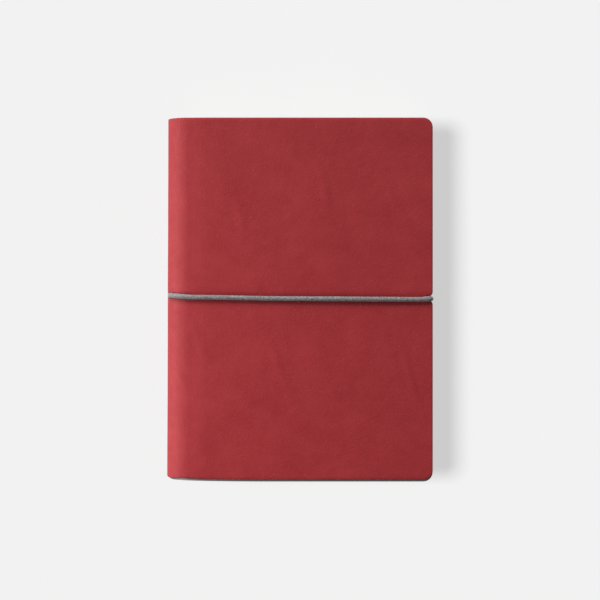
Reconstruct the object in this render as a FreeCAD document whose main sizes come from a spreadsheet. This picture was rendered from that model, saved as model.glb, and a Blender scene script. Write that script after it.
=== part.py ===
import FreeCAD, Part
import os
import re
import Sketcher

# Pocket notebook, lying on its back cover with the front cover up.
# X runs from the spine (-X) to the fore-edge (+X), Y from tail (-Y) to head (+Y), Z upwards.
# The origin is the middle of the rectangle that the notebook covers on the table. Sizes are in millimetres.

SIZES = {
    "width": 95.2,           # spine to fore-edge
    "height": 130.0,         # tail to head
    "thick": 16.0,           # outside of one cover to outside of the other
    "leather": 0.9,
    "board": 0.9,
    "lining": 0.3,           # grey paper pasted inside each cover
    "edge_gap": 0.1,         # between a cover's leather and the spine leather
    "board_inset": 0.4,      # board to the leather's edge
    "joint_gap": 1.2,        # hinge line to the board's spine edge
    "corner": 3.6,           # radius of the fore-edge corners
    "cord": 2.0,             # diameter of the round elastic
    "cord_y": 0.45,          # height of the cord's line above the middle
    "press": 0.5,            # depth of the cord's groove in the front leather
    "cord_play": 0.05,
    "flat_cord": 0.85,       # the cord squashed under the back cover: thickness
    "flat_width": 3.2,       # and width
    "floor_gap": 0.05,
    "channel": 0.95,         # depth of the channel that the squashed cord lies in
    "channel_wall": 0.35,    # leather left above the channel
    "rib_wall": 0.5,         # leather left beside the channel
    "rib_end": 0.1,          # the rib stops short of the notch
    "channel_run": 4.0,      # length of the channel in the spine leather
    "notch_depth": 2.4,      # for the cord, in the fore-edge of each cover
    "notch_half": 1.1,
    "notch_lip": 1.2,
    "cord_inset": 1.0,       # middle of the bight to the fore-edge
    "bight_bend": 1.2,       # radius of the cord's bend over the fore-edge
    "bight_leg": 0.75,       # straight length of the bight on top of the cover
    "bight_foot": 0.1,       # bottom of the bight to the table
    "low_bend": 5.0,         # outer radius of the squashed cord's bend towards the lower hole
    "low_bend_inset": 2.4,   # from the spine's axis to the middle of that bend
    "hole_radius": 1.5,      # holes for the cord in the spine leather
    "hidden_radius": 5.7,    # radius of the hidden cord's curve inside the spine
    "stub_inset": 0.6,       # outside of the spine to the ends of the hidden cord
    "crimp_wall": 0.08,
    "page_inset": 2.5,       # leaves to the fore-edge of the covers
    "page_margin": 2.0,      # leaves to the head and tail of the covers
    "page_corner": 3.0,
    "page_gap": 0.03,        # between signatures
    "layer_gap": 0.05,       # between a cover, a flyleaf and the signatures
    "flyleaf": 0.15,
    "signatures": 14,
    "back_depth": 4.6,       # outside of the spine to the top of the rounded back
    "back_rise": 2.5,        # rise of the rounded back
    "turn_line": 9.6,        # outside of the spine to where turning leaves begin
    "turn_gap": 0.15,
    "thread": 0.3,
    "thread_rise": 0.4,      # middle of the stitches above the curve of the folds
    "mull_rise": 0.6,        # inside of the mull above the same curve
    "mull": 0.2,
    "mull_length": 116.0,
    "liner": 0.3,
    "band_rise": 0.2,
    "band": 0.8,
    "band_length": 1.6,
    "hair": 0.01,            # keeps rounds and touching faces apart
    "past": 1.0,             # how far a cutting tool runs past a face
}
TURNING = 3                      # signatures that turn with the front cover
STITCH_STATIONS = (-50, -18, 18, 50)

# Angles are in degrees, measured from +X towards +Z about the spine's axis

HOLE_ANGLE = 145                 # the upper hole; the lower one is its mirror image
STRAND_ANGLES = (90, 143)        # the front strand over the spine
GROOVE_START = 80                # its groove runs a little past the spine leather
LOW_BEND_ANGLES = (222, 270)
LOW_GROOVE_START = 215
LINER_ANGLES = (115, 245)
CRIMP_ANGLES = (170, 190)
CRIMP_BORE_ANGLES = (165, 195)
BACK_ANGLE = 44                  # half angle of the rounded back

ALONG = 0.9                      # an edge this much along an axis counts as parallel to it
NEAR = 0.01

doc = FreeCAD.newDocument("pocket_notebook")
sheet = doc.addObject("Spreadsheet::Sheet", "Sizes")
pieces = []


def fill_sheet():
    for row, (alias, size) in enumerate(SIZES.items(), start=1):
        sheet.set(f"A{row}", alias)
        sheet.set(f"B{row}", str(size))
        sheet.setAlias(f"B{row}", alias)
    doc.recompute()


def formula(text):
    """Point each size named in a formula at its cell in the sheet."""
    return re.sub(r"[a-z]\w*", lambda word: "Sizes." + word[0] if word[0] in SIZES else word[0], str(text))


def value(text):
    return float(sheet.evalExpression(formula(text)))


def bind(thing, prop, text):
    thing.setExpression(prop, formula(text))


def place(thing, x=0, y=0, z=0, rotation=None):
    """Put a piece at x, y, z, each a formula."""
    base = FreeCAD.Vector(value(x), value(y), value(z))
    thing.Placement = FreeCAD.Placement(base, rotation or FreeCAD.Rotation())
    for axis, text in (("x", x), ("y", y), ("z", z)):
        bind(thing, f"Placement.Base.{axis}", text)


def piece(thing, name):
    thing.Label = name
    pieces.append(thing)
    return thing


# Flat pieces: sketches padded upwards

def attach(sketch, body, role):
    plane = next(item for item in body.Origin.OriginFeatures if item.Role == role)
    sketch.AttachmentSupport = [(plane, "")]
    sketch.MapMode = "FlatFace"


def rectangle(body, name, left, right, low, high, role="XY_Plane"):
    """Draw a rectangle whose sides are formulas."""
    sketch = body.newObject("Sketcher::SketchObject", name)
    attach(sketch, body, role)
    corners = [(left, low), (right, low), (right, high), (left, high)]
    points = [FreeCAD.Vector(value(x), value(y), 0) for x, y in corners]
    for start in range(4):
        sketch.addGeometry(Part.LineSegment(points[start], points[(start + 1) % 4]))
    for start in range(4):
        sketch.addConstraint(Sketcher.Constraint("Coincident", start, 2, (start + 1) % 4, 1))
    for index, (x, y) in enumerate(corners):
        for kind, text, size in (("DistanceX", x, points[index].x), ("DistanceY", y, points[index].y)):
            if (index, kind) in ((1, "DistanceY"), (2, "DistanceX"), (3, "DistanceX"), (3, "DistanceY")):
                continue
            number = sketch.addConstraint(Sketcher.Constraint(kind, -1, 1, index, 1, size))
            bind(sketch, f"Constraints[{number}]", text)
    for side, kind in ((0, "Horizontal"), (2, "Horizontal"), (3, "Vertical")):
        sketch.addConstraint(Sketcher.Constraint(kind, side))
    return sketch


def plate(name, left, right, low, high, base, depth):
    """A flat sheet from base upwards, as a body with one pad."""
    body = piece(doc.addObject("PartDesign::Body", name), name)
    sketch = rectangle(body, name + "_outline", left, right, low, high)
    pad = body.newObject("PartDesign::Pad", name + "_pad")
    pad.Profile = sketch
    bind(pad, "Length", depth)
    place(body, z=base)
    doc.recompute()
    return body


def cut_through(body, name, left, right, low, high, role="XY_Plane"):
    """Cut a rectangle right through a body, both ways from the sketch's plane."""
    before = body.Shape.Volume
    sketch = rectangle(body, name + "_outline", left, right, low, high, role)
    pocket = body.newObject("PartDesign::Pocket", name)
    pocket.Profile = sketch
    pocket.SideType = "Symmetric"
    pocket.Type = "ThroughAll"
    doc.recompute()
    assert body.Shape.Volume < before, name


def round_edges(body, name, radius, wanted):
    """Round the edges of a body whose middle point passes the test."""
    base = body.Tip
    edges = []
    for index, edge in enumerate(base.Shape.Edges, start=1):
        straight = edge.Curve.TypeId == "Part::GeomLine"
        if straight and wanted(edge.tangentAt(edge.FirstParameter), edge.CenterOfMass):
            edges.append(f"Edge{index}")
    fillet = body.newObject("PartDesign::Fillet", name)
    fillet.Base = (base, edges)
    bind(fillet, "Radius", radius)
    doc.recompute()


def upright_at(x, low, high):
    """A test for upright edges at x whose y is low or high."""
    corners = [FreeCAD.Vector(value(x), value(y), 0) for y in (low, high)]

    def wanted(direction, centre):
        plan = FreeCAD.Vector(centre.x, centre.y, 0)
        return abs(direction.z) > ALONG and min(plan.distanceToPoint(corner) for corner in corners) < NEAR
    return wanted


def notch(body, name, edge):
    """Cut the cord's notch in the fore-edge at x = edge, and round its bottom and its lips."""
    bottom, low, high = "width / 2 - notch_depth", "cord_y - notch_half", "cord_y + notch_half"
    cut_through(body, name + "_notch", bottom, "width / 2 + past", low, high)
    round_edges(body, name + "_notch_bottom", "notch_half - 2 * hair", upright_at(bottom, low, high))
    round_edges(body, name + "_notch_lips", "notch_lip", upright_at(edge, low, high))


def cover_layer(name, left, edge, low, high, base, depth):
    """One layer of a cover, with its notch and its two rounded corners."""
    body = plate(name, left, edge, low, high, base, depth)
    notch(body, name, edge)
    round_edges(body, name + "_corners", "corner", upright_at(edge, low, high))
    return body


def front_cover():
    leather = cover_layer(
        "front_cover_leather", "thick / 2 - width / 2 + edge_gap", "width / 2",
        "-height / 2", "height / 2", "thick - leather", "leather",
    )
    groove = leather.newObject("Sketcher::SketchObject", "front_groove_outline")
    attach(groove, leather, "YZ_Plane")
    centre = FreeCAD.Vector(value("cord_y"), value("leather + cord / 2 - press"), 0)
    groove.addGeometry(Part.Circle(centre, FreeCAD.Vector(0, 0, 1), value("cord / 2 + cord_play")))
    sizes = (
        ("Radius", (0,), "cord / 2 + cord_play"),
        ("DistanceX", (-1, 1, 0, 3), "cord_y"),
        ("DistanceY", (-1, 1, 0, 3), "leather + cord / 2 - press"),
    )
    for kind, ends, text in sizes:
        number = groove.addConstraint(Sketcher.Constraint(kind, *ends, value(text)))
        bind(groove, f"Constraints[{number}]", text)
    pocket = leather.newObject("PartDesign::Pocket", "front_groove")
    pocket.Profile = groove
    pocket.SideType = "Symmetric"
    pocket.Type = "ThroughAll"
    doc.recompute()
    cover_layer(
        "front_board", "thick / 2 - width / 2 + joint_gap", "width / 2 - board_inset",
        "board_inset - height / 2", "height / 2 - board_inset", "thick - leather - board", "board",
    )
    cover_layer(
        "front_pastedown", "thick / 2 - width / 2 + joint_gap", "width / 2 - board_inset / 2",
        "board_inset / 2 - height / 2", "height / 2 - board_inset / 2",
        "thick - leather - board - lining", "lining",
    )


def back_cover():
    leather = cover_layer(
        "back_cover_leather", "thick / 2 - width / 2 + edge_gap", "width / 2",
        "-height / 2", "height / 2", "0", "leather",
    )
    rib = rectangle(
        leather, "channel_rib_outline",
        "thick / 2 - width / 2 + joint_gap + rib_wall", "width / 2 - notch_depth - rib_end",
        "cord_y - flat_width / 2 - rib_wall", "cord_y + flat_width / 2 + rib_wall",
    )
    pad = leather.newObject("PartDesign::Pad", "channel_rib")
    pad.Profile = rib
    bind(pad, "Length", "channel + channel_wall")
    doc.recompute()
    cut_through(
        leather, "channel_cut",
        "cord_y - flat_width / 2 - cord_play * 2", "cord_y + flat_width / 2 + cord_play * 2",
        "-past", "channel", "YZ_Plane",
    )
    board = cover_layer(
        "back_board", "thick / 2 - width / 2 + joint_gap", "width / 2 - board_inset",
        "board_inset - height / 2", "height / 2 - board_inset", "leather", "board",
    )
    cut_through(
        board, "board_channel",
        "cord_y - flat_width / 2 - rib_wall - cord_play", "cord_y + flat_width / 2 + rib_wall + cord_play",
        "-past", "channel + channel_wall + cord_play - leather", "YZ_Plane",
    )
    cover_layer(
        "back_pastedown", "thick / 2 - width / 2 + joint_gap", "width / 2 - board_inset / 2",
        "board_inset / 2 - height / 2", "height / 2 - board_inset / 2", "leather + board", "lining",
    )


# Leaves: a rounded back, and two parts of each signature that turns

BLOCK_BASE = "leather + board + lining + layer_gap * 2 + flyleaf"
BLOCK_RISE = f"(thick - 2 * ({BLOCK_BASE}))"
TURN_X = "turn_line - width / 2"
PAGE_EDGE = "width / 2 - page_inset"
PAGE_TOP = "height / 2 - page_margin"


def back_x(number):
    """Formula for the fold of a signature, on the rounded back."""
    offset = f"((2 * {number} - 1 - signatures) / (signatures - 1))"
    return f"back_depth - width / 2 + back_rise * {offset} ^ 2"


def leaf_stack(name, left, right, base, depth):
    body = plate(name, left, right, f"-({PAGE_TOP})", PAGE_TOP, base, depth)
    if right == PAGE_EDGE:
        round_edges(body, name + "_corners", "page_corner", upright_at(right, f"-({PAGE_TOP})", PAGE_TOP))
    return body


def round_fold(body, name, left, radius):
    """Round the fold, the long edges at the left end."""
    def wanted(direction, centre):
        return abs(direction.y) > ALONG and abs(centre.x - value(left)) < NEAR
    round_edges(body, name + "_fold_round", radius, wanted)


def signatures():
    pitch = f"{BLOCK_RISE} / signatures"
    depth = f"{pitch} - page_gap"
    for number in range(1, SIZES["signatures"] + 1):
        name = f"signature_{number:02d}"
        base = f"thick - ({BLOCK_BASE}) - {number} * {pitch} + page_gap / 2"
        fold = back_x(number)
        if number <= TURNING:
            body = leaf_stack(name + "_fold", fold, f"{TURN_X} - turn_gap", base, depth)
            leaf_stack(name + "_leaves", TURN_X, PAGE_EDGE, base, depth)
        else:
            body = leaf_stack(name, fold, PAGE_EDGE, base, depth)
        round_fold(body, name, fold, f"({depth}) / 2 - hair")


def flyleaves():
    inside = "leather + board + lining + layer_gap"
    leaf_stack("front_flyleaf", TURN_X, PAGE_EDGE, f"thick - ({inside}) - flyleaf", "flyleaf")
    leaf_stack("back_flyleaf", TURN_X, PAGE_EDGE, inside, "flyleaf")


# Round pieces about axes along Y

def about_y(end_angle):
    """Turn a cylinder or torus so that its axis is +Y and its sweep ends at an angle from +X towards +Z."""
    upright = FreeCAD.Rotation(FreeCAD.Vector(1, 0, 0), -90)
    return upright * FreeCAD.Rotation(FreeCAD.Vector(0, 0, 1), -end_angle)


def cylinder(name, radius, length, x, y, z, rotation, sweep=360):
    shape = doc.addObject("Part::Cylinder", name)
    bind(shape, "Radius", radius)
    bind(shape, "Height", length)
    shape.Angle = sweep
    place(shape, x, y, z, rotation)
    return shape


def torus(name, bend, radius, x, y, z, start, end):
    """A round tube bent about an axis along Y, from one angle to another."""
    shape = doc.addObject("Part::Torus", name)
    bind(shape, "Radius1", bend)
    bind(shape, "Radius2", radius)
    shape.Angle3 = end - start
    place(shape, x, y, z, about_y(end))
    return shape


def cut(base, tool, name):
    result = doc.addObject("Part::Cut", name)
    result.Base = base
    result.Tool = tool
    return result


def fuse(shapes, name):
    result = doc.addObject("Part::MultiFuse", name)
    result.Shapes = shapes
    return result


def ring(name, x, y, inner, outer, length, start, end, z="thick / 2"):
    """Part of a tube with its axis along Y."""
    solid = cylinder(name + "_outer", outer, length, x, y, z, about_y(end), end - start)
    bore = cylinder(name + "_bore", inner, length, x, y, z, about_y(end))
    return cut(solid, bore, name + "_ring")


SPINE_X = "thick / 2 - width / 2"
CORD_CENTRE = (SPINE_X, "cord_y", "thick / 2")     # where the cord's line crosses the spine's axis
STRAND_BEND = "thick / 2 + cord / 2 - press"
LOW_BEND_X = f"{SPINE_X} - low_bend_inset"
LOW_BEND_Z = "floor_gap + low_bend"
CHANNEL_Y = "cord_y - flat_width / 2 - cord_play * 2"
CHANNEL_WIDTH = "flat_width + cord_play * 4"


def radial(angle):
    """Turn a cylinder so that its axis points outwards at an angle from +X towards +Z."""
    return FreeCAD.Rotation(FreeCAD.Vector(0, 1, 0), 90 - angle)


def hole_tools(name):
    return [
        cylinder(f"{name}_hole_{angle}", "hole_radius", "thick", *CORD_CENTRE, radial(angle))
        for angle in (HOLE_ANGLE, 360 - HOLE_ANGLE)
    ]


def spine():
    leather = ring(
        "spine_leather", SPINE_X, "-height / 2", "thick / 2 - leather", "thick / 2", "height", 90, 270,
    )
    groove = torus(
        "spine_groove", STRAND_BEND, "cord / 2 + cord_play", *CORD_CENTRE, GROOVE_START, HOLE_ANGLE,
    )
    channel = doc.addObject("Part::Box", "spine_channel")
    bind(channel, "Length", "channel_run")
    bind(channel, "Width", CHANNEL_WIDTH)
    bind(channel, "Height", "floor_gap + flat_cord + cord_play")
    place(channel, LOW_BEND_X, CHANNEL_Y, "0")
    low_groove = ring(
        "spine_low_groove", LOW_BEND_X, CHANNEL_Y, "low_bend - flat_cord - cord_play", "low_bend + past",
        CHANNEL_WIDTH, LOW_GROOVE_START, LOW_BEND_ANGLES[1], z=LOW_BEND_Z,
    )
    cutters = [groove, channel, low_groove] + hole_tools("spine_leather")
    piece(cut(leather, fuse(cutters, "spine_cutters"), "spine_leather"), "spine_leather")
    liner = ring(
        "spine_liner", SPINE_X, "-mull_length / 2",
        "thick / 2 - leather - liner", "thick / 2 - leather - hair", "mull_length", *LINER_ANGLES,
    )
    piece(cut(liner, fuse(hole_tools("spine_liner"), "liner_cutters"), "spine_liner"), "spine_liner")


def back_parts():
    """Stitches, mull and bands, on the curve of the rounded back."""
    half = f"({BLOCK_RISE} / 2)"
    radius = f"(({half} ^ 2 + back_rise ^ 2) / (2 * back_rise))"
    centre = f"back_depth - width / 2 + {radius}"
    start, end = 180 - BACK_ANGLE, 180 + BACK_ANGLE
    bend = f"{radius} + thread_rise"
    stitches = [
        torus(f"stitch_{index}", bend, "thread / 2", centre, y, "thick / 2", start, end)
        for index, y in enumerate(STITCH_STATIONS)
    ]
    piece(fuse(stitches, "sewing_thread"), "sewing_thread")
    inside = f"{radius} + mull_rise"
    mull = ring("mull", centre, "-mull_length / 2", inside, f"{inside} + mull", "mull_length", start, end)
    piece(mull, "spine_mull")
    for name, y in (("head_band", f"{PAGE_TOP} - band_length"), ("tail_band", f"-({PAGE_TOP})")):
        inside = f"{radius} + band_rise"
        piece(ring(name, centre, y, inside, f"{inside} + band", "band_length", start, end), name)


# Elastic cord

def front_strand():
    bend = torus("front_strand_bend", STRAND_BEND, "cord / 2", *CORD_CENTRE, *STRAND_ANGLES)
    along = FreeCAD.Rotation(FreeCAD.Vector(0, 1, 0), 90)
    reach = "width - thick / 2 - cord_inset - bight_bend - bight_leg - cord_play"
    run = cylinder(
        "front_strand_run", "cord / 2", reach, SPINE_X, "cord_y", "thick + cord / 2 - press", along,
    )
    piece(fuse([bend, run], "elastic_front_strand"), "elastic_front_strand")


def bight():
    x = "width / 2 - cord_inset - bight_bend"
    top = "thick + cord / 2 - press"
    along = FreeCAD.Rotation(FreeCAD.Vector(0, 1, 0), 90)
    leg = cylinder("bight_leg", "cord / 2", "bight_leg", f"{x} - bight_leg", "cord_y", top, along)
    bend = torus("bight_turn", "bight_bend", "cord / 2", x, "cord_y", f"{top} - bight_bend", 0, 90)
    drop = cylinder(
        "bight_drop", "cord / 2", f"{top} - bight_bend - bight_foot",
        f"{x} + bight_bend", "cord_y", "bight_foot", FreeCAD.Rotation(),
    )
    piece(fuse([leg, bend, drop], "elastic_bight"), "elastic_bight")


def back_strand():
    run = doc.addObject("Part::Box", "back_strand_run")
    bind(run, "Length", "width - thick / 2 + low_bend_inset - cord_inset - cord / 2 - cord_play")
    bind(run, "Width", "flat_width")
    bind(run, "Height", "flat_cord")
    place(run, LOW_BEND_X, "cord_y - flat_width / 2", "floor_gap")
    bend = ring(
        "back_strand_bend", LOW_BEND_X, "cord_y - flat_width / 2", "low_bend - flat_cord", "low_bend",
        "flat_width", *LOW_BEND_ANGLES, z=LOW_BEND_Z,
    )
    piece(fuse([run, bend], "elastic_back_strand"), "elastic_back_strand")


def hidden_cord():
    low, high = HOLE_ANGLE, 360 - HOLE_ANGLE
    curve = torus("hidden_curve", "hidden_radius", "cord / 2", *CORD_CENTRE, low, high)
    stubs = []
    for angle in (low, high):
        stub = cylinder(
            f"hidden_stub_{angle}", "cord / 2", "thick / 2 - stub_inset", *CORD_CENTRE, radial(angle),
        )
        core = cylinder(f"hidden_core_{angle}", "cord", "hidden_radius", *CORD_CENTRE, radial(angle))
        stubs.append(cut(stub, core, f"hidden_end_{angle}"))
    piece(fuse([curve] + stubs, "elastic_hidden_strand"), "elastic_hidden_strand")
    outer = torus("crimp_outer", "hidden_radius", "cord / 2 + crimp_wall", *CORD_CENTRE, *CRIMP_ANGLES)
    inner = torus("crimp_inner", "hidden_radius", "cord / 2 + hair", *CORD_CENTRE, *CRIMP_BORE_ANGLES)
    piece(cut(outer, inner, "elastic_crimp"), "elastic_crimp")


def check_and_write():
    doc.recompute()
    for thing in doc.Objects:
        assert not {"Invalid", "Error"} & set(thing.State), thing.Name
    os.makedirs("parts", exist_ok=True)
    for thing in pieces:
        assert not thing.Shape.isNull() and thing.Shape.isValid(), thing.Label
    for thing in pieces:
        thing.Shape.exportStep(f"parts/{thing.Label}.step")
        print(f"{thing.Label}: {thing.Shape.Volume:.1f} mm3, {len(thing.Shape.Solids)} solids")


fill_sheet()
front_cover()
back_cover()
signatures()
flyleaves()
spine()
back_parts()
front_strand()
bight()
back_strand()
hidden_cord()
check_and_write()
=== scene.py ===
import math
import random

import bpy
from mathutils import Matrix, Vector, noise


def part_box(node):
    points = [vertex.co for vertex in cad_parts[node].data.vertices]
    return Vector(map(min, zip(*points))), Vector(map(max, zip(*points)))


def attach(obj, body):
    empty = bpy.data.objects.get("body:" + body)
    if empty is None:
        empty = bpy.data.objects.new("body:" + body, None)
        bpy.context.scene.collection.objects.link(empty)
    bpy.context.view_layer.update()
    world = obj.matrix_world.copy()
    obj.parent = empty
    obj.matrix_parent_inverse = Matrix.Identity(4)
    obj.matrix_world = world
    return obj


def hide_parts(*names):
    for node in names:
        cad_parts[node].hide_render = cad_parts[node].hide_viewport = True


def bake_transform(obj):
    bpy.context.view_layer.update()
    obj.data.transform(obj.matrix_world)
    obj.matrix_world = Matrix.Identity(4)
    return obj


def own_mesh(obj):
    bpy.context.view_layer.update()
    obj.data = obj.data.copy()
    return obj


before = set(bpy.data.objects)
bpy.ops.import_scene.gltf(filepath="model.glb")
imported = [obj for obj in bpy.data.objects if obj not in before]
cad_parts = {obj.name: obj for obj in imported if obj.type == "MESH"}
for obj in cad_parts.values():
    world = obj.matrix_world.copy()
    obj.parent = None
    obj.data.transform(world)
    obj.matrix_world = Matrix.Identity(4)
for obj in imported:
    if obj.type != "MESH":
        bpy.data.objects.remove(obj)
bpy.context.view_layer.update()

MM = 0.001

# Places and sizes read from the frame

cover_low, cover_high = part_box("front_cover_leather")
_, spine_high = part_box("spine_leather")
strand_low, strand_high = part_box("elastic_front_strand")
_, bight_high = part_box("elastic_bight")
flat_low, flat_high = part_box("elastic_back_strand")

THICK = spine_high.z
SPINE_R = THICK / 2
AXIS_X = spine_high.x
EDGE = cover_high.x
LEATHER = cover_high.z - cover_low.z
CORD_R = (strand_high.y - strand_low.y) / 2
CORD_Y = (strand_high.y + strand_low.y) / 2
CORD_Z = strand_high.z - CORD_R
BIGHT_X = bight_high.x - 0.65 * MM
STRAND_END = strand_high.x
FLAT_HALF_WIDTH = (flat_high.y - flat_low.y) / 2
FLAT_HALF_HEIGHT = 0.425 * MM
FLAT_Z = flat_low.z + FLAT_HALF_HEIGHT

# The cord's notch in the covers, their corners, the cord's holes in the spine, and the tail's cut edge

NOTCH_HALF = 1.0 * MM
NOTCH_LIP = Vector((0.85 * MM, 1.4 * MM))     # radii of its rounded lips, into and along the fore-edge
NOTCH_DEPTH = 2.4 * MM
NOTCH_REACH = 9 * MM
CORNER = 3.4 * MM
UPPER_HOLE = 151.5
LOWER_HOLE = 215
HOLE_RADII = (1.28 * MM, 1.6 * MM)
SLANT = 0.75 * MM                             # of the leather's cut edge at the tail
SLANT_REACH = 6 * MM


def smooth(t):
    t = min(max(t, 0.0), 1.0)
    return t * t * (3 - 2 * t)


def spread(start, end, step):
    """Evenly spaced values from start up to, but not with, end."""
    count = max(1, round(abs(end - start) / step))
    return [start + (end - start) * index / count for index in range(count)]


def cord_line(x):
    """Y of the cord's middle over the front cover: it curves down from its hole, then runs straight."""
    slope = 0.25 * MM * smooth((-8 * MM - x) / (25 * MM)) + 0.45 * MM * smooth((-37.5 * MM - x) / (9.5 * MM))
    rise = 0.25 * MM * smooth((x - 42 * MM) / (5 * MM))
    return CORD_Y - 0.05 * MM - 0.0068 * x + slope + rise


def cord_place(x, z):
    """Middle of the cord, which runs straight inside the spine and under the back cover."""
    front = smooth((z - 9.2 * MM) / (2 * MM))
    return Vector((x, CORD_Y + (cord_line(x) - CORD_Y) * front, z))


def new_object(name, verts, faces, shade=True, kinds=None):
    """A mesh object. kinds gives each face's material, as its place in the object's materials."""
    mesh = bpy.data.meshes.new(name)
    mesh.from_pydata(verts, [], faces)
    if kinds:
        mesh.polygons.foreach_set("material_index", kinds)
    mesh.validate()
    mesh.update()
    if shade:
        mesh.polygons.foreach_set("use_smooth", [True] * len(mesh.polygons))
    obj = bpy.data.objects.new(name, mesh)
    bpy.context.scene.collection.objects.link(obj)
    return obj


def sharpen(obj):
    """Keep the cut edges of a sheet crisp."""
    obj.data.set_sharp_from_angle(angle=math.radians(50))


# Materials

def material(name, roughness, specular=0.5, sheen=0.0):
    mat = bpy.data.materials.new(name)
    mat.use_nodes = True
    shader = mat.node_tree.nodes["Principled BSDF"]
    shader.inputs["Roughness"].default_value = roughness
    shader.inputs["Specular IOR Level"].default_value = specular
    shader.inputs["Sheen Weight"].default_value = sheen
    return mat


class Nodes:
    """Short calls for making a material's nodes."""

    def __init__(self, mat):
        self.tree = mat.node_tree
        self.shader = self.tree.nodes["Principled BSDF"]
        self.place = self.tree.nodes.new("ShaderNodeTexCoord").outputs["Object"]

    def link(self, source, target):
        self.tree.links.new(source, target)

    def stretch(self, x, y, z):
        node = self.tree.nodes.new("ShaderNodeMapping")
        node.inputs["Scale"].default_value = (x, y, z)
        self.link(self.place, node.inputs["Vector"])
        return node.outputs["Vector"]

    def noise(self, size, detail=3.0, roughness=0.5, vector=None):
        """Noise whose grains are about size metres across."""
        node = self.tree.nodes.new("ShaderNodeTexNoise")
        node.inputs["Scale"].default_value = 1 / size
        node.inputs["Detail"].default_value = detail
        node.inputs["Roughness"].default_value = roughness
        self.link(vector or self.place, node.inputs["Vector"])
        return node.outputs["Fac"]

    def cells(self, size, feature="F1", vector=None):
        node = self.tree.nodes.new("ShaderNodeTexVoronoi")
        node.feature = feature
        node.inputs["Scale"].default_value = 1 / size
        self.link(vector or self.place, node.inputs["Vector"])
        return node.outputs["Distance"]

    def wave(self, size, direction="X", vector=None, distortion=0.0):
        node = self.tree.nodes.new("ShaderNodeTexWave")
        node.bands_direction = direction
        node.inputs["Scale"].default_value = 0.314 / size
        node.inputs["Distortion"].default_value = distortion
        self.link(vector or self.place, node.inputs["Vector"])
        return node.outputs["Fac"]

    def ramp(self, value, stops):
        node = self.tree.nodes.new("ShaderNodeValToRGB")
        ramp = node.color_ramp
        ramp.elements[0].position, ramp.elements[0].color = stops[0][0], (*stops[0][1], 1)
        ramp.elements[1].position, ramp.elements[1].color = stops[-1][0], (*stops[-1][1], 1)
        for position, colour in stops[1:-1]:
            ramp.elements.new(position).color = (*colour, 1)
        self.link(value, node.inputs["Fac"])
        return node.outputs["Color"]

    def levels(self, value, low, high, to_low=0.0, to_high=1.0):
        node = self.tree.nodes.new("ShaderNodeMapRange")
        node.inputs["From Min"].default_value = low
        node.inputs["From Max"].default_value = high
        node.inputs["To Min"].default_value = to_low
        node.inputs["To Max"].default_value = to_high
        self.link(value, node.inputs["Value"])
        return node.outputs["Result"]

    def math(self, kind, first, second):
        node = self.tree.nodes.new("ShaderNodeMath")
        node.operation = kind
        for index, item in enumerate((first, second)):
            if isinstance(item, (int, float)):
                node.inputs[index].default_value = item
            else:
                self.link(item, node.inputs[index])
        return node.outputs[0]

    def mix(self, share, first, second, blend="MIX"):
        node = self.tree.nodes.new("ShaderNodeMix")
        node.data_type = "RGBA"
        node.blend_type = blend
        for name, item in (("Factor", share), ("A", first), ("B", second)):
            socket = next(s for s in node.inputs if s.name == name and s.enabled)
            if isinstance(item, tuple):
                socket.default_value = (*item, 1)
            elif isinstance(item, (int, float)):
                socket.default_value = item
            else:
                self.link(item, socket)
        return next(s for s in node.outputs if s.enabled)

    def bump(self, height, distance, strength=1.0, normal=None):
        node = self.tree.nodes.new("ShaderNodeBump")
        node.inputs["Strength"].default_value = strength
        node.inputs["Distance"].default_value = distance
        self.link(height, node.inputs["Height"])
        if normal is not None:
            self.link(normal, node.inputs["Normal"])
        return node.outputs["Normal"]

    def colour(self, source):
        self.link(source, self.shader.inputs["Base Color"])

    def roughness(self, source):
        self.link(source, self.shader.inputs["Roughness"])

    def normal(self, source):
        self.link(source, self.shader.inputs["Normal"])


def leather_material():
    mat = material("red_leather", 0.6, specular=0.22)
    n = Nodes(mat)
    clouds = n.noise(11 * MM, detail=5, roughness=0.65)
    base = n.ramp(clouds, [
        (0.30, (0.246, 0.0165, 0.0205)),
        (0.50, (0.265, 0.0200, 0.0240)),
        (0.72, (0.288, 0.0240, 0.0280)),
    ])
    specks = n.levels(n.noise(0.9 * MM, detail=4, roughness=0.7), 0.56, 0.74)
    base = n.mix(n.math("MULTIPLY", specks, 0.45), base, (0.34, 0.045, 0.05))
    pores = n.levels(n.cells(0.55 * MM), 0.0, 0.35)
    base = n.mix(n.math("MULTIPLY", n.math("SUBTRACT", 1.0, pores), 0.32), base, (0.17, 0.010, 0.013))
    n.colour(base)
    n.roughness(n.levels(n.noise(3 * MM, detail=4), 0.3, 0.7, 0.54, 0.68))
    grain = n.bump(n.cells(0.7 * MM), 0.05 * MM, 0.6)
    fine = n.bump(n.noise(0.25 * MM, detail=3), 0.03 * MM, 0.6, grain)
    n.normal(n.bump(n.noise(5 * MM, detail=3), 0.16 * MM, 0.5, fine))
    return mat


def core_material():
    """The leather's dark back, which also shows along its cut edges."""
    mat = material("leather_core", 0.85, specular=0.2)
    n = Nodes(mat)
    fibres = n.noise(0.22 * MM, detail=4, roughness=0.7)
    n.colour(n.ramp(fibres, [(0.3, (0.125, 0.112, 0.110)), (0.7, (0.225, 0.207, 0.202))]))
    n.normal(n.bump(fibres, 0.05 * MM, 0.6))
    return mat


def lining_material():
    mat = material("grey_lining", 0.8, specular=0.25)
    n = Nodes(mat)
    fibres = n.noise(0.35 * MM, detail=4, vector=n.stretch(1, 0.4, 1))
    n.colour(n.ramp(fibres, [(0.3, (0.105, 0.120, 0.112)), (0.7, (0.165, 0.182, 0.172))]))
    n.normal(n.bump(fibres, 0.03 * MM, 0.5))
    return mat


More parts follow.
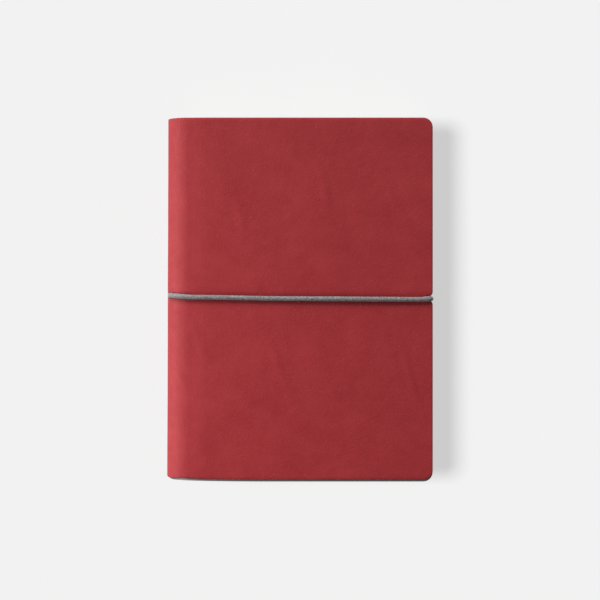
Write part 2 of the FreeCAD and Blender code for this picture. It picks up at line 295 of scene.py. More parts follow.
def board_material():
    mat = material("millboard", 0.9, specular=0.2)
    n = Nodes(mat)
    fibres = n.noise(0.5 * MM, detail=5, vector=n.stretch(1, 1, 3))
    n.colour(n.ramp(fibres, [(0.3, (0.15, 0.13, 0.11)), (0.7, (0.27, 0.24, 0.20))]))
    n.normal(n.bump(fibres, 0.05 * MM, 0.6))
    return mat


def paper_material():
    mat = material("ivory_paper", 0.85, specular=0.2)
    n = Nodes(mat)
    fibres = n.noise(0.4 * MM, detail=5, vector=n.stretch(1, 0.5, 1))
    tone = n.ramp(n.noise(9 * MM, detail=3), [(0.3, (0.64, 0.60, 0.50)), (0.7, (0.67, 0.635, 0.54))])
    layers = n.noise(0.2 * MM, detail=2, vector=n.stretch(0.01, 0.01, 1))
    tone = n.mix(n.levels(layers, 0.35, 0.6, 0.2, 0.0), tone, (0.50, 0.46, 0.375))
    n.colour(n.mix(n.levels(fibres, 0.4, 0.7, 0.0, 0.2), tone, (0.72, 0.695, 0.62)))
    n.normal(n.bump(fibres, 0.008 * MM, 0.3))
    return mat


def cord_material():
    mat = material("grey_elastic", 0.7, specular=0.3, sheen=0.25)
    n = Nodes(mat)
    threads = n.noise(0.28 * MM, detail=4, roughness=0.7, vector=n.stretch(0.6, 1, 1))
    base = n.ramp(threads, [
        (0.32, (0.048, 0.046, 0.047)),
        (0.50, (0.130, 0.127, 0.127)),
        (0.66, (0.350, 0.340, 0.336)),
    ])
    patches = n.levels(n.noise(2.2 * MM, detail=2), 0.35, 0.65, 0.75, 1.0)
    n.colour(n.mix(n.math("SUBTRACT", 1.0, patches), base, (0.10, 0.09, 0.095)))
    n.normal(n.bump(threads, 0.06 * MM, 0.7))
    return mat


def woven_material(name, dark, light, size):
    mat = material(name, 0.85, specular=0.2)
    n = Nodes(mat)
    warp = n.wave(size, "Y")
    weft = n.wave(size, "Z")
    weave = n.math("MULTIPLY", warp, weft)
    n.colour(n.ramp(weave, [(0.1, dark), (0.7, light)]))
    n.normal(n.bump(weave, 0.08 * MM, 0.8))
    return mat


def band_material():
    mat = material("band_cord", 0.7, specular=0.3)
    n = Nodes(mat)
    stripes = n.wave(1.3 * MM, "Z")
    n.colour(n.ramp(stripes, [(0.40, (0.20, 0.02, 0.025)), (0.60, (0.62, 0.56, 0.45))]))
    n.normal(n.bump(n.wave(0.25 * MM, "Z"), 0.04 * MM, 0.5))
    return mat


def metal_material():
    mat = material("satin_metal", 0.35)
    n = Nodes(mat)
    n.shader.inputs["Metallic"].default_value = 1.0
    scratches = n.noise(0.2 * MM, detail=3, vector=n.stretch(1, 0.1, 1))
    n.colour(n.ramp(scratches, [(0.3, (0.50, 0.51, 0.52)), (0.7, (0.72, 0.73, 0.74))]))
    n.roughness(n.levels(scratches, 0.3, 0.7, 0.28, 0.45))
    return mat


MATERIALS = {
    "leather": leather_material(),
    "core": core_material(),
    "lining": lining_material(),
    "board": board_material(),
    "paper": paper_material(),
    "elastic": cord_material(),
    "mull": woven_material("mull_cloth", (0.42, 0.39, 0.33), (0.74, 0.71, 0.63), 0.6 * MM),
    "thread": woven_material("linen_thread", (0.55, 0.50, 0.42), (0.82, 0.78, 0.69), 0.12 * MM),
    "headband": band_material(),
    "crimp": metal_material(),
}


def dress(obj, slot, *more):
    """Give a piece its materials."""
    if obj.data.materials:
        obj.data.materials.clear()
    for name in (slot, *more):
        obj.data.materials.append(MATERIALS[name])
    return obj


# Cover sheets: a grid in plan, with a rim whose edges are rounded

def notch_edge(offset, inset):
    """Where the notch's curve crosses a line at this distance from the cord's line, moved in by inset."""
    lip_line = NOTCH_HALF + NOTCH_LIP.y
    if offset >= lip_line:
        return EDGE * 2
    if offset >= NOTCH_HALF + inset:
        along = (lip_line - offset) / (NOTCH_LIP.y - inset)
        return EDGE - NOTCH_LIP.x + (NOTCH_LIP.x - inset) * math.sqrt(max(1 - along ** 2, 0.0))
    bottom = EDGE - NOTCH_DEPTH + NOTCH_HALF
    return bottom - math.sqrt(max((NOTCH_HALF + inset) ** 2 - offset ** 2, 0.0))


def cover_rows(low, high, inset):
    """Rows across a cover, closer together along the notch's curve."""
    lip_line = NOTCH_HALF + NOTCH_LIP.y
    steps = [math.radians(angle) for angle in range(0, 91, 15)]
    offsets = {round(lip_line - (NOTCH_LIP.y - inset) * math.sin(step), 7) for step in steps}
    offsets |= {round((NOTCH_HALF + inset) * math.cos(step), 7) for step in steps}
    offsets |= {3.0 * MM, 3.8 * MM, 4.8 * MM}
    near = sorted({round(side * offset, 7) for offset in offsets for side in (-1, 1)})
    middle = [CORD_Y + offset for offset in near]
    return spread(low, middle[0] - 1 * MM, 1 * MM) + middle + spread(high, middle[-1] + 1 * MM, 1 * MM)[::-1]


def round_corner(x, y, edge, low, high, inset):
    """Pull a grid point in so that the grid's square corner becomes a round one."""
    radius = CORNER - inset
    for end, side in ((low, -1), (high, 1)):
        across = (x - (edge - radius)) / radius
        along = (side * (y - end) + radius) / radius
        if across > 0 and along > 0:
            share = max(across, along) / math.hypot(across, along)
            return edge - radius + across * share * radius, end + side * radius * (along * share - 1)
    return x, y


def plan_grid(columns, rows, edge, inset):
    """The plan places of a cover's grid points: one list for each column."""
    low, high = rows[0], rows[-1]
    grid = []
    for x in columns:
        line = []
        for y in rows:
            px, py = round_corner(x, y, edge, low, high, inset)
            depth = max(0.0, edge - notch_edge(abs(y - CORD_Y), inset))
            px -= depth * smooth(1 - (edge - x) / NOTCH_REACH)
            line.append((px, py))
        grid.append(line)
    return grid


def shell(name, outer, inner, normals, rounding):
    """A closed sheet between two grids. Three sides get a rounded rim, and the first column a flat one.

    Faces on the inner side and on the cut edge are of the second kind.
    """
    columns, rows = len(outer), len(outer[0])
    verts = [p for line in outer for p in line] + [p for line in inner for p in line]
    half = columns * rows

    def top(i, j):
        return i * rows + j

    def low(i, j):
        return half + i * rows + j

    faces, kinds = [], []
    for i in range(columns - 1):
        for j in range(rows - 1):
            faces.append((top(i, j), top(i + 1, j), top(i + 1, j + 1), top(i, j + 1)))
            faces.append((low(i, j), low(i, j + 1), low(i + 1, j + 1), low(i + 1, j)))
            kinds += [0, 1]
    chain = [(i, 0) for i in range(columns)]
    chain += [(columns - 1, j) for j in range(1, rows)]
    chain += [(i, rows - 1) for i in range(columns - 2, -1, -1)]
    profile = [math.radians(angle) for angle in (30, 60, 90)]
    strips = []
    for index, (i, j) in enumerate(chain):
        before = chain[max(index - 1, 0)]
        after = chain[min(index + 1, len(chain) - 1)]
        tangent = outer[after[0]][after[1]] - outer[before[0]][before[1]]
        outward = tangent.cross(normals[i][j]).normalized()
        strip = [top(i, j)]
        for base, way, angles in ((outer[i][j], -1, profile), (inner[i][j], 1, profile[::-1])):
            for angle in angles:
                lift = way * rounding * (1 - math.cos(angle))
                strip.append(len(verts))
                verts.append(base + outward * rounding * math.sin(angle) + normals[i][j] * lift)
        strip.append(low(i, j))
        strips.append(strip)
    for first, second in zip(strips, strips[1:]):
        for k in range(len(first) - 1):
            faces.append((first[k], first[k + 1], second[k + 1], second[k]))
            kinds.append(0 if k < len(profile) else 1)
    for j in range(rows - 1):
        faces.append((top(0, j), top(0, j + 1), low(0, j + 1), low(0, j)))
        kinds.append(1)
    faces += [tuple(strips[0][::-1]), tuple(strips[-1])]
    kinds += [1, 1]
    return new_object(name, verts, faces, kinds=kinds)


# The leather's relief. Heights are along the outward normal.

CREASES = (
    ((33, -9), (37.5, -20), (41, -33), (45.5, -45)),
    ((-12, -11), (-9, -20), (-6, -27.5), (-1, -33.5)),
    ((-39.5, -5), (-35, -17), (-30.5, -24)),
    ((-46, -18), (-44, -25), (-41, -31)),
    ((23, 52), (28, 45.5), (36, 32), (40, 23)),
    ((-25, 40), (-21, 31), (-19, 20)),
    ((6, 50), (9, 42), (10, 30)),
)


def line_distance(x, y, line):
    """Distance from a point to a chain of straight runs, and the share of the chain gone by."""
    best, share = 1.0, 0.0
    point = Vector((x, y))
    for index, (start, end) in enumerate(zip(line, line[1:])):
        a, b = Vector(start) * MM, Vector(end) * MM
        run = b - a
        t = min(max((point - a).dot(run) / run.length_squared, 0.0), 1.0)
        distance = (point - a - run * t).length
        if distance < best:
            best, share = distance, (index + t) / (len(line) - 1)
    return best, share


def crease_height(x, y):
    height = 0.0
    for line in CREASES:
        distance, share = line_distance(x, y, line)
        if distance < 4 * MM:
            fade = math.sin(math.pi * min(max(share, 0.02), 0.98))
            height += 0.13 * MM * fade * math.exp(-((distance / (1.2 * MM)) ** 2))
            height -= 0.03 * MM * fade * math.exp(-(((distance - 2.4 * MM) / (1.2 * MM)) ** 2))
    return height


def waves(place):
    """The leather's own gentle unevenness, which runs on over the spine."""
    broad = noise.noise(place / (22 * MM))
    small = noise.noise(place / (5 * MM) + Vector((0, 3, 0)))
    return 0.05 * MM * broad + 0.007 * MM * small


def hinge_dent(x):
    return -0.03 * MM * math.exp(-(((x - AXIS_X) / (0.8 * MM)) ** 2))


def spine_bulge(place):
    """The rounded spine stands out a little more towards the tail."""
    outward = smooth((AXIS_X - place.x) / SPINE_R)
    return outward * (0.17 * MM - 0.19 * MM * place.y / cover_high.y)


def shoulder(along):
    """The front cover curves down softly on its way into the spine."""
    start, middle, end = -33.5 * MM, -42 * MM, -50.5 * MM
    return -0.45 * MM * smooth((start - along) / (start - middle)) * smooth((along - end) / (middle - end))


def front_relief(along, place):
    """Groove pressed by the round cord, with soft shoulders, over the leather's own waves."""
    offset = abs(place.y - cord_line(place.x))
    radius = CORD_R - 0.07 * MM
    pressed = smooth((place.z - SPINE_R) / (3 * MM))
    height = -0.34 * MM * pressed * math.exp(-((offset / (1.6 * MM)) ** 2))
    height += waves(place) + crease_height(place.x, place.y) * pressed + shoulder(along) + spine_bulge(place)
    if offset < radius and place.z > SPINE_R + 3 * MM:
        groove = CORD_Z - THICK + shoulder(along) - math.sqrt(radius ** 2 - offset ** 2)
        height = min(height, groove)
    return height


def back_relief(along, place):
    """Channel for the flattened cord in the back cover, which is flat where it lies on the table."""
    offset = abs(place.y - CORD_Y)
    raised = smooth((place.z - 2 * MM) / (SPINE_R - 2 * MM))
    height = waves(place) * (0.5 + 0.5 * raised) + hinge_dent(along) - 0.04 * MM * (1 - raised)
    height += spine_bulge(place)
    wall = smooth((FLAT_HALF_WIDTH + 0.35 * MM - offset) / (0.3 * MM))
    run_out = smooth((along - (AXIS_X - 6 * MM)) / (3 * MM))
    return min(height, -0.93 * MM * wall * run_out) if wall * run_out > 0 else height


def tail_cut(x):
    """How much shorter the leather is towards the spine, and the slant of its cut edge, at the tail."""
    rounded = smooth((-42 * MM - x) / (5 * MM))
    short = 0.5 * MM * (max(0.0, -12 * MM - x) / (32 * MM)) ** 2
    return short * (1 - 0.5 * rounded), SLANT * (1 - 0.35 * rounded)


def leather_sheet(name, front, relief, rounding=0.32 * MM):
    """Half of the leather wrap: a cover, and the quarter of the rounded spine next to it."""
    node = "front_cover_leather" if front else "back_cover_leather"
    low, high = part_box(node)
    rows = cover_rows(low.y + rounding, high.y - rounding, rounding)
    quarter = SPINE_R * math.pi / 2
    bends = spread(-quarter, -quarter + 0.6 * MM, 0.1 * MM) + spread(-quarter + 0.6 * MM, 0, 0.45 * MM)
    flats = spread(0, EDGE - 10 * MM - AXIS_X, 1.0 * MM)
    ends = spread(EDGE - 10 * MM - AXIS_X, EDGE - rounding - AXIS_X, 0.55 * MM) + [EDGE - rounding - AXIS_X]
    lengths = bends + flats + ends
    plan = plan_grid([AXIS_X + length for length in lengths], rows, EDGE - rounding, rounding)
    side = 1 if front else -1
    outer, inner, normals = [], [], []
    for line in plan:
        outer_line, inner_line, normal_line = [], [], []
        for along, y in line:
            turn = min(0.0, (along - AXIS_X) / SPINE_R)
            normal = Vector((math.sin(turn), 0, side * math.cos(turn)))
            centre = Vector((max(along, AXIS_X), y, SPINE_R))
            height = relief(along, centre + normal * SPINE_R)
            near_tail = smooth(1 - (y - low.y) / SLANT_REACH)
            short, slant = tail_cut((centre + normal * SPINE_R).x)
            centre.y += near_tail * short
            outer_line.append(centre + Vector((0, near_tail * slant, 0)) + normal * (SPINE_R + height))
            depth = min(SPINE_R - LEATHER, SPINE_R + height - 0.3 * MM)
            inner_line.append(centre + normal * depth)
            normal_line.append(normal)
        outer.append(outer_line)
        inner.append(inner_line)
        normals.append(normal_line)
    if not front:
        outer, inner, normals = ([line[::-1] for line in grid] for grid in (outer, inner, normals))
    obj = shell(name, outer, inner, normals, rounding)
    return dress(obj, "leather", "core")


def punch_hole(obj, angle):
    """Cut the cord's hole through the rounded spine, at an angle from +X towards +Z."""
    out = Vector((math.cos(math.radians(angle)), 0, math.sin(math.radians(angle))))
    across = Vector((0, 1, 0))
    tangent = out.cross(across)
    middle = Vector((AXIS_X, 0, SPINE_R)) + out * SPINE_R
    middle = cord_place(middle.x, middle.z)
    sides = 40
    rings = []
    for depth in (-3 * MM, 3 * MM):
        for index in range(sides):
            turn = 2 * math.pi * index / sides
            spot = across * (HOLE_RADII[0] * math.cos(turn)) + tangent * (HOLE_RADII[1] * math.sin(turn))
            rings.append(middle + out * depth + spot)
    faces = [(i, (i + 1) % sides, sides + (i + 1) % sides, sides + i) for i in range(sides)]
    faces += [tuple(range(sides))[::-1], tuple(range(sides, 2 * sides))]
    cutter = new_object("hole_cutter", rings, faces, shade=False, kinds=[1] * len(faces))
    cut = obj.modifiers.new("hole", "BOOLEAN")
    cut.operation = "DIFFERENCE"
    cut.solver = "EXACT"
    cut.object = cutter
    bpy.context.view_layer.update()
    evaluated = obj.evaluated_get(bpy.context.evaluated_depsgraph_get())
    mesh = bpy.data.meshes.new_from_object(evaluated)
    obj.modifiers.clear()
    obj.data = mesh
    bpy.data.objects.remove(cutter)
    sharpen(obj)
    return obj


def make_leather():
    front = punch_hole(leather_sheet("front_leather_wrap", True, front_relief), UPPER_HOLE)
    back = punch_hole(leather_sheet("back_leather_wrap", False, back_relief), LOWER_HOLE)
    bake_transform(front)
    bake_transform(back)
    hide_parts("front_cover_leather", "spine_leather")
    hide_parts("back_cover_leather")


def flat_sheet(name, node, body, slot, rounding, up):
    """A flat layer of a cover, with rounded edges."""
    low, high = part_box(node)
    edge = high.x - rounding
    rows = cover_rows(low.y + rounding, high.y - rounding, rounding)
    start = low.x + rounding
    columns = spread(start, edge - 8 * MM, 3 * MM) + spread(edge - 8 * MM, edge, 0.6 * MM) + [edge]
    plan = plan_grid(columns, rows, edge, rounding)
    normal = Vector((0, 0, up))
    top, bottom = (high.z, low.z) if up > 0 else (low.z, high.z)
    outer = [[Vector((x, y, top)) for x, y in line] for line in plan]
    inner = [[Vector((x, y, bottom)) for x, y in line] for line in plan]
    normals = [[normal for _ in line] for line in plan]
    if up < 0:
        outer, inner, normals = ([line[::-1] for line in grid] for grid in (outer, inner, normals))
    obj = dress(shell(name, outer, inner, normals, rounding), slot, slot)
    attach(obj, body)
    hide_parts(node)
    return obj


def make_linings():
    flat_sheet("front_stiffener", "front_board", "front_cover", "board", 0.15 * MM, 1)
    flat_sheet("front_lining_paper", "front_pastedown", "front_cover", "lining", 0.12 * MM, 1)
    flat_sheet("back_stiffener", "back_board", "back_cover", "board", 0.15 * MM, -1)
    flat_sheet("back_lining_paper", "back_pastedown", "back_cover", "lining", 0.12 * MM, -1)


# Leaves

PAGE_CORNER = 3 * MM
SIGNATURES = 14
FLYLEAF_FOLD = -40.4 * MM
LEAF = 0.082 * MM


def leaf_rows(low, high):
    """Rows along a leaf, closer at its rounded corners."""
    curve = [PAGE_CORNER * (1 - math.cos(math.radians(angle))) for angle in (0, 15, 30, 45, 60, 75, 90)]
    middle = spread(low + PAGE_CORNER, high - PAGE_CORNER, 30 * MM)[1:]
    return [low + step for step in curve] + middle + [high - step for step in curve[::-1]]


def corner_cut(y, low, high):
    """How far the fore-edge is drawn in at a row, by the rounded corner."""
    near = min(y - low, high - y)
    if near >= PAGE_CORNER:
        return 0.0
    return PAGE_CORNER - math.sqrt(max(PAGE_CORNER ** 2 - (PAGE_CORNER - near) ** 2, 0.0))


def ribbon(verts, faces, section, rows, low, high):
    """Add a thin sheet: section is (x, z, normal x, normal z, share of the way to the fore-edge)."""
    base = len(verts)
    count = len(section)
    for y in rows:
        cut = corner_cut(y, low, high)
        for way in (0.5, -0.5):
            for x, z, nx, nz, share in section:
                pull = cut * smooth((share - 0.8) / 0.2)
                verts.append((x - pull + nx * LEAF * way, y, z + nz * LEAF * way))
    per_row = 2 * count
    for r in range(len(rows) - 1):
        here, there = base + r * per_row, base + (r + 1) * per_row
        for k in range(count - 1):
            faces.append((here + k, here + k + 1, there + k + 1, there + k))
            faces.append((here + count + k + 1, here + count + k, there + count + k, there + count + k + 1))
        faces.append((here + count, here, there, there + count))
        faces.append((here + count - 1, here + 2 * count - 1, there + 2 * count - 1, there + count - 1))
    for row, flip in ((base, False), (base + (len(rows) - 1) * per_row, True)):
        for k in range(count - 1):
            face = (row + k, row + count + k, row + count + k + 1, row + k + 1)
            faces.append(face[::-1] if flip else face)


def leaf_stops(start, end):
    """Places along a leaf, from its fold to its fore-edge, closer where it bends."""
    bend = spread(start, -36.6 * MM, 0.35 * MM)
    flat = spread(-36.6 * MM, end - 4 * MM, 20 * MM)
    tip = spread(end - 4 * MM, end, 0.8 * MM)
    return bend + flat + tip + [end]


def folded_sheet(fold_x, low_z, high_z, ends, page_end):
    """Section of one folded sheet: its upper leaf, the fold and its lower leaf."""
    radius = (high_z - low_z) / 2
    centre_x, centre_z = fold_x, (high_z + low_z) / 2
    section = []
    for x in leaf_stops(centre_x, ends[0])[::-1]:
        section.append((x, high_z, 0, 1, (x - centre_x) / (page_end - centre_x)))
    for angle in range(105, 270, 15):
        turn = math.radians(angle)
        nx, nz = math.cos(turn), math.sin(turn)
        section.append((centre_x + radius * nx, centre_z + radius * nz, nx, nz, 0))
    for x in leaf_stops(centre_x, ends[1]):
        section.append((x, low_z, 0, -1, (x - centre_x) / (page_end - centre_x)))
    return section


def make_signature(number, draw):
    """Four folded sheets, one inside the other: eight leaves."""
    name = f"signature_{number:02d}"
    turns = name + "_leaves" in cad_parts
    nodes = [name + "_fold", name + "_leaves"] if turns else [name]
    low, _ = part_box(nodes[0])
    _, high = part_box(nodes[-1])
    rows = leaf_rows(low.y, high.y)
    pitch = (high.z - low.z) / 8
    centre_x = low.x + (high.z - low.z) / 2
    verts, faces = [], []
    for index in range(4):
        ends = [high.x - draw.uniform(0.0, 0.22) * MM for _ in range(2)]
        section = folded_sheet(
            centre_x, low.z + pitch * (index + 0.5), high.z - pitch * (index + 0.5), ends, high.x,
        )
        ribbon(verts, faces, section, rows, low.y, high.y)
    obj = dress(new_object(f"{name}_sheets", verts, faces), "paper")
    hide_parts(*nodes)
    sharpen(obj)
    if turns:
        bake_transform(obj)
    else:
        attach(obj, "text_block")


def make_flyleaf(node, body, fold_x):
    low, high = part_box(node)
    rows = leaf_rows(low.y, high.y)
    middle = (low.z + high.z) / 2
    section = [
        (x, middle, 0, 1, (x - fold_x) / (high.x - fold_x)) for x in leaf_stops(fold_x, high.x)[::-1]
    ]
    verts, faces = [], []
    ribbon(verts, faces, section, rows, low.y, high.y)
    obj = dress(new_object(node + "_sheet", verts, faces), "paper")
    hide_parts(node)
    sharpen(obj)
    if body == "text_block":
        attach(obj, body)
    else:
        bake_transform(obj)


def make_leaves():
    draw = random.Random(11)
    for number in range(1, SIGNATURES + 1):
        make_signature(number, draw)
    make_flyleaf("front_flyleaf", "flyleaf", FLYLEAF_FOLD)
    make_flyleaf("back_flyleaf", "text_block", FLYLEAF_FOLD)


# Cord: a braided tube along a path in the plane of the cord's line

def run(start, end, step):
    """Points of a straight run, as (x, z)."""
    a, b = Vector(start), Vector(end)
    count = max(1, round((b - a).length / step))
    return [tuple(a + (b - a) * index / count) for index in range(count)]


def bend(centre, radius, start, end, step):
    """Points of an arc about a centre, from one angle to another in degrees. radius may be a function."""
    reach = radius(start) if callable(radius) else radius
    count = max(4, round(abs(math.radians(end - start)) * reach / step))
    points = []
    for index in range(count):
        angle = start + (end - start) * index / count
        r = radius(angle) if callable(radius) else radius
        turn = math.radians(angle)
        points.append((centre[0] + r * math.cos(turn), centre[1] + r * math.sin(turn)))
    return points


def braid(turn, length, strands=9, pitch=1.9 * MM):
    """Height of the braid, from 0 to 1, round a cord and along it."""
    spin = strands * turn
    walk = 2 * math.pi * length / pitch * 2
    right = 0.5 + 0.5 * math.cos(spin + walk)
    left = 0.5 + 0.5 * math.cos(spin - walk)
    over = 0.5 + 0.5 * math.sin(spin) * math.sin(walk)
    return max(right * (0.45 + 0.55 * over), left * (1.0 - 0.55 * over))


def tube(name, points, half_height, half_width, sides=36, relief=0.075):
    """A braided tube. half_height and half_width are functions of the point's number and place."""
    verts, faces = [], []
    length = 0.0
    for index, (x, z) in enumerate(points):
        before = Vector(points[max(index - 1, 0)])
        after = Vector(points[min(index + 1, len(points) - 1)])
        along = (after - before).normalized()
        out = Vector((-along.y, 0, along.x))
        if index:
            length += (Vector((x, z)) - Vector(points[index - 1])).length
        high, wide = half_height(x, z), half_width(x, z)
        for side in range(sides):
            turn = 2 * math.pi * side / sides
            scale = 1 - relief + relief * braid(turn, length)
            verts.append(
                cord_place(x, z) + out * (high * scale * math.sin(turn))
                + Vector((0, 1, 0)) * (wide * scale * math.cos(turn))
            )
    rings = len(points)
    for r in range(rings - 1):
        for side in range(sides):
            after = (side + 1) % sides
            a, b = r * sides, (r + 1) * sides
            faces.append((a + side, a + after, b + after, b + side))
    faces.append(tuple(range(sides))[::-1])
    faces.append(tuple(range((rings - 1) * sides, rings * sides)))
    return dress(new_object(name, verts, faces), "elastic")


STEP = 0.16 * MM
SPINE = (AXIS_X, SPINE_R)
RIDE_R = CORD_Z - SPINE_R
HIDDEN_R = 5.7 * MM
INNER_END = 163.5                             # where the inner cord meets the front strand


def through_upper_hole(angle):
    """Distance of the cord from the spine's axis, as it comes up out of the upper hole."""
    ride = RIDE_R + shoulder(AXIS_X - math.radians(angle - 90) * SPINE_R)
    return HIDDEN_R + (ride - HIDDEN_R) * smooth((INNER_END - angle) / 22)


def round_section(x, z):
    """Radius of the round cord: full where it leaves its hole, and stretched thinner after it."""
    fuller = 0.165 * smooth((-45.3 * MM - x) / (0.9 * MM))
    thinner = 0.035 * (smooth((x + 42 * MM) / (8 * MM)) - smooth((x - 2 * MM) / (10 * MM)))
    return CORD_R * (0.885 + fuller - thinner)


def make_front_strand():
    points = bend(SPINE, through_upper_hole, INNER_END + 2, 90, STEP)
    points += [(x, z + shoulder(x)) for x, z in run((AXIS_X, CORD_Z), (STRAND_END, CORD_Z), STEP)]
    points.append((STRAND_END, CORD_Z))
    obj = tube("elastic_front_cord", points, round_section, round_section)
    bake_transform(obj)
    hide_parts("elastic_front_strand")


LOW_BEND_X = AXIS_X - 2.4 * MM
LOW_BEND_R = 4.575 * MM
LOW_BEND_END = 222
LOW_START = 226
LOW_END = 200


def through_lower_hole(angle):
    turn = math.radians(LOW_BEND_END)
    start = Vector((
        LOW_BEND_X + LOW_BEND_R * math.cos(turn) - AXIS_X,
        FLAT_Z + LOW_BEND_R + LOW_BEND_R * math.sin(turn) - SPINE_R,
    )).length
    return HIDDEN_R + (start - HIDDEN_R) * smooth((angle - LOW_END) / (LOW_START - LOW_END))


LOOP_R = CORD_R * 0.88


def loop_height(x, z):
    """Thinner inside the front strand, round over the fore-edge, and flat under the back cover."""
    if z > SPINE_R:
        inside = 0.08 * MM * smooth((STRAND_END + 0.4 * MM - x) / (0.7 * MM))
        return LOOP_R - inside + 0.1 * MM * smooth((x - 43.6 * MM) / MM)
    under = smooth((2.2 * MM - z) / (1.5 * MM)) if x > 0 else smooth((2.6 * MM - z) / (1.8 * MM))
    return LOOP_R + (FLAT_HALF_HEIGHT - LOOP_R) * under


def loop_width(x, z):
    if z > SPINE_R:
        return loop_height(x, z)
    if x > 0:
        return LOOP_R + (FLAT_HALF_WIDTH - LOOP_R) * smooth((EDGE - NOTCH_DEPTH - x) / (2.4 * MM))
    return LOOP_R + (FLAT_HALF_WIDTH - LOOP_R) * smooth((x - AXIS_X + 5.6 * MM) / (4 * MM))


def make_loop():
    corner_r = 1.2 * MM
    foot_r = 1.1 * MM
    corner = (BIGHT_X - corner_r, CORD_Z - corner_r)
    foot = (BIGHT_X - foot_r, FLAT_Z + foot_r)
    points = run((STRAND_END - 9 * MM, CORD_Z), (corner[0], CORD_Z), STEP)
    points += bend(corner, corner_r, 90, 0, STEP)
    points += run((BIGHT_X, corner[1]), (BIGHT_X, foot[1]), STEP)
    points += bend(foot, foot_r, 0, -90, STEP)
    points += run((foot[0], FLAT_Z), (LOW_BEND_X, FLAT_Z), STEP)
    points += bend((LOW_BEND_X, FLAT_Z + LOW_BEND_R), LOW_BEND_R, 270, LOW_BEND_END, STEP)
    obj = tube("elastic_loop_cord", points, loop_height, loop_width)
    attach(obj, "elastic_loop")
    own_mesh(obj)
    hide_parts("elastic_bight", "elastic_back_strand")


def make_hidden_cord():
    points = bend(SPINE, through_lower_hole, LOW_START, LOW_END, STEP)
    points += bend(SPINE, HIDDEN_R, LOW_END, INNER_END, STEP)
    obj = tube("elastic_inner_cord", points, round_section, round_section)
    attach(obj, "text_block")
    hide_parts("elastic_hidden_strand")


# Bands at the head and tail of the rounded back

def make_band(node):
    low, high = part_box(node)
    half = math.radians(44)
    outer = (high.z - low.z) / 2 / math.sin(half)
    bead = 0.42 * MM
    middle = outer - bead
    centre = Vector((low.x + outer, (low.y + high.y) / 2, (low.z + high.z) / 2))
    verts, faces = [], []
    rings, sides = 90, 20
    for ring in range(rings + 1):
        turn = math.pi - half + 2 * half * ring / rings
        out = Vector((math.cos(turn), 0, math.sin(turn)))
        for side in range(sides):
            spin = 2 * math.pi * side / sides
            radius = bead * (0.97 + 0.03 * math.cos(spin * 2 + ring * 0.9))
            offset = out * radius * math.cos(spin) + Vector((0, 1, 0)) * (1.5 * radius * math.sin(spin))
            verts.append(centre + out * middle + offset)
    for ring in range(rings):
        for side in range(sides):
            after = (side + 1) % sides
            a, b = ring * sides, (ring + 1) * sides
            faces.append((a + side, b + side, b + after, a + after))
    faces.append(tuple(range(sides)))
    faces.append(tuple(range(rings * sides, (rings + 1) * sides))[::-1])
    obj = dress(new_object(f"{node}_bead", verts, faces), "headband")
    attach(obj, "text_block")
    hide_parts(node)


def dress_cad_nodes():
    for node, slot in (
        ("spine_liner", "lining"),
        ("spine_mull", "mull"),
        ("sewing_thread", "thread"),
        ("elastic_crimp", "crimp"),
    ):
        dress(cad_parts[node], slot)


# Stage

VIEW_WIDTH = 214.08 * MM
CAMERA_HEIGHT = 450 * MM
CAMERA_PLACE = Vector((0.20 * MM, 20 * MM, THICK + CAMERA_HEIGHT))
VIEW_MIDDLE_Y = -0.13 * MM
FLOOR_SIZE = 3.0


def make_camera():
    data = bpy.data.cameras.new("camera")
    data.sensor_width = 36
    data.lens = data.sensor_width * CAMERA_HEIGHT / VIEW_WIDTH
    data.shift_y = (VIEW_MIDDLE_Y - CAMERA_PLACE.y) / VIEW_WIDTH
    data.clip_start = 0.01
    camera = bpy.data.objects.new("camera", data)
    camera.location = CAMERA_PLACE
    bpy.context.scene.collection.objects.link(camera)
    bpy.context.scene.camera = camera


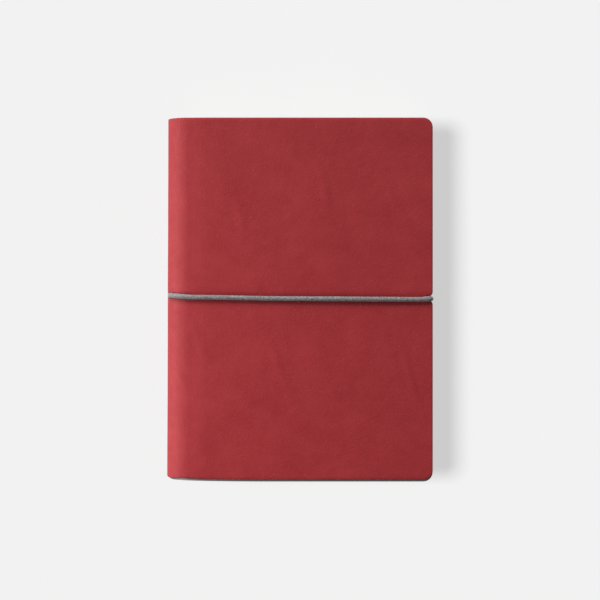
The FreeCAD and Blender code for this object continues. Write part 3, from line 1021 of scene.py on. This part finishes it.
def make_floor():
    """A pale floor that glows a little, as paper lit from behind does, so that shadows on it stay soft."""
    verts = [(x * FLOOR_SIZE, y * FLOOR_SIZE, 0) for x, y in ((-1, -1), (1, -1), (1, 1), (-1, 1))]
    floor = new_object("floor", verts, [(0, 1, 2, 3)])
    mat = material("pale_floor", 0.9, specular=0.0)
    n = Nodes(mat)
    n.colour(n.ramp(n.noise(60 * MM, detail=2), [(0.3, (0.119, 0.119, 0.119)), (0.7, (0.121, 0.121, 0.121))]))
    n.shader.inputs["Emission Color"].default_value = (1, 1, 1, 1)
    n.shader.inputs["Emission Strength"].default_value = 0.579
    floor.data.materials.append(mat)
    return floor


def make_world():
    world = bpy.data.worlds.new("studio")
    world.use_nodes = True
    background = world.node_tree.nodes["Background"]
    background.inputs["Color"].default_value = (1, 1, 1, 1)
    background.inputs["Strength"].default_value = 0.20
    bpy.context.scene.world = world


def add_light(name, kind, energy, location, lit, **settings):
    """Add a light that points at the notebook and lights only the objects given."""
    data = bpy.data.lights.new(name, kind)
    data.energy = energy
    for key, setting in settings.items():
        setattr(data, key, setting)
    light = bpy.data.objects.new(name, data)
    light.location = location
    light.rotation_euler = (-Vector(location)).to_track_quat("-Z", "Y").to_euler()
    bpy.context.scene.collection.objects.link(light)
    receivers = bpy.data.collections.new(f"lit_by_{name}")
    for obj in lit:
        receivers.objects.link(obj)
    light.light_linking.receiver_collection = receivers


def make_lights(floor):
    """A sun for the floor's shadow, and a low side light and a higher one from the head for the notebook."""
    notebook = [obj for obj in bpy.context.scene.objects if obj.type == "MESH" and obj != floor]
    add_light("shadow_sun", "SUN", 9.15, (-0.577, 0.05, 0.81), [floor], angle=math.radians(22))
    add_light(
        "side", "AREA", 0.85, (-0.24, -0.01, 0.10), notebook, shape="RECTANGLE", size=0.30, size_y=0.14,
    )
    add_light("head_sun", "SUN", 4.0, (-0.20, 0.86, 0.47), notebook, angle=math.radians(28))


make_camera()
make_leather()
make_linings()
make_leaves()
make_front_strand()
make_loop()
make_hidden_cord()
make_band("head_band")
make_band("tail_band")
dress_cad_nodes()
make_world()
make_lights(make_floor())
bpy.context.scene.view_settings.view_transform = "Standard"
